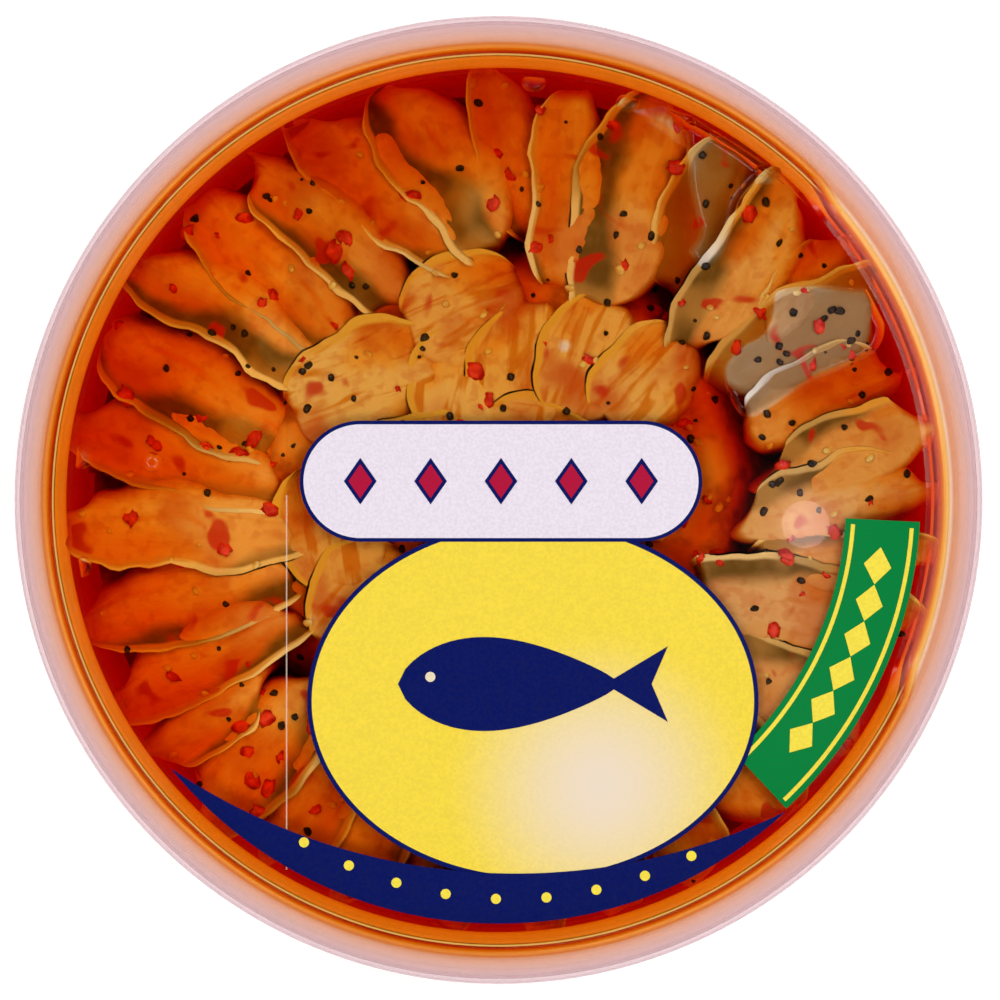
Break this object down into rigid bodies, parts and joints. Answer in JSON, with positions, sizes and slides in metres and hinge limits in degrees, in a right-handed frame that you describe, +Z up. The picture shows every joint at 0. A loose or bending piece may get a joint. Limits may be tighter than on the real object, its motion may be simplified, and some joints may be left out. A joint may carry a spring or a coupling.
{
  "type": "herring fillets in a clear tub",
  "caption": "Round shallow clear tub with a sunken clear lid, packed with marinated herring fillets standing on edge in spiced oil, with plain printed fields on the lid.",
  "frame": {"origin": "centre of the tub's flat base, on the surface it stands on", "axes": "+Z up through the middle of the lid; +Y towards the edge above the lilac plate, -Y towards the navy crescent, +X to the right when the lid is read"},
  "size_m": [0.118, 0.118, 0.031],
  "materials": {
    "tub_plastic": "clear slightly milky moulded plastic, smooth",
    "lid_plastic": "clear moulded plastic, smooth",
    "fillet_flesh": "moist oil-soaked fish flesh with grey skin edges and spice",
    "pale_flesh": "moist pale fish flesh with golden ridges",
    "print_yellow": "glossy printed film",
    "print_lilac": "glossy printed film",
    "print_navy": "glossy printed film",
    "print_green": "glossy printed film"
  },
  "bodies": {
    "root": {"tub": "tub_plastic", "lid": "lid_plastic", "ring_fillets": "fillet_flesh", "centre_fillets": "pale_flesh", "label_oval": "print_yellow", "label_plate": "print_lilac", "label_foot": "print_navy", "label_band": "print_green", "label_fish": "print_navy"}
  },
  "joints": []
}
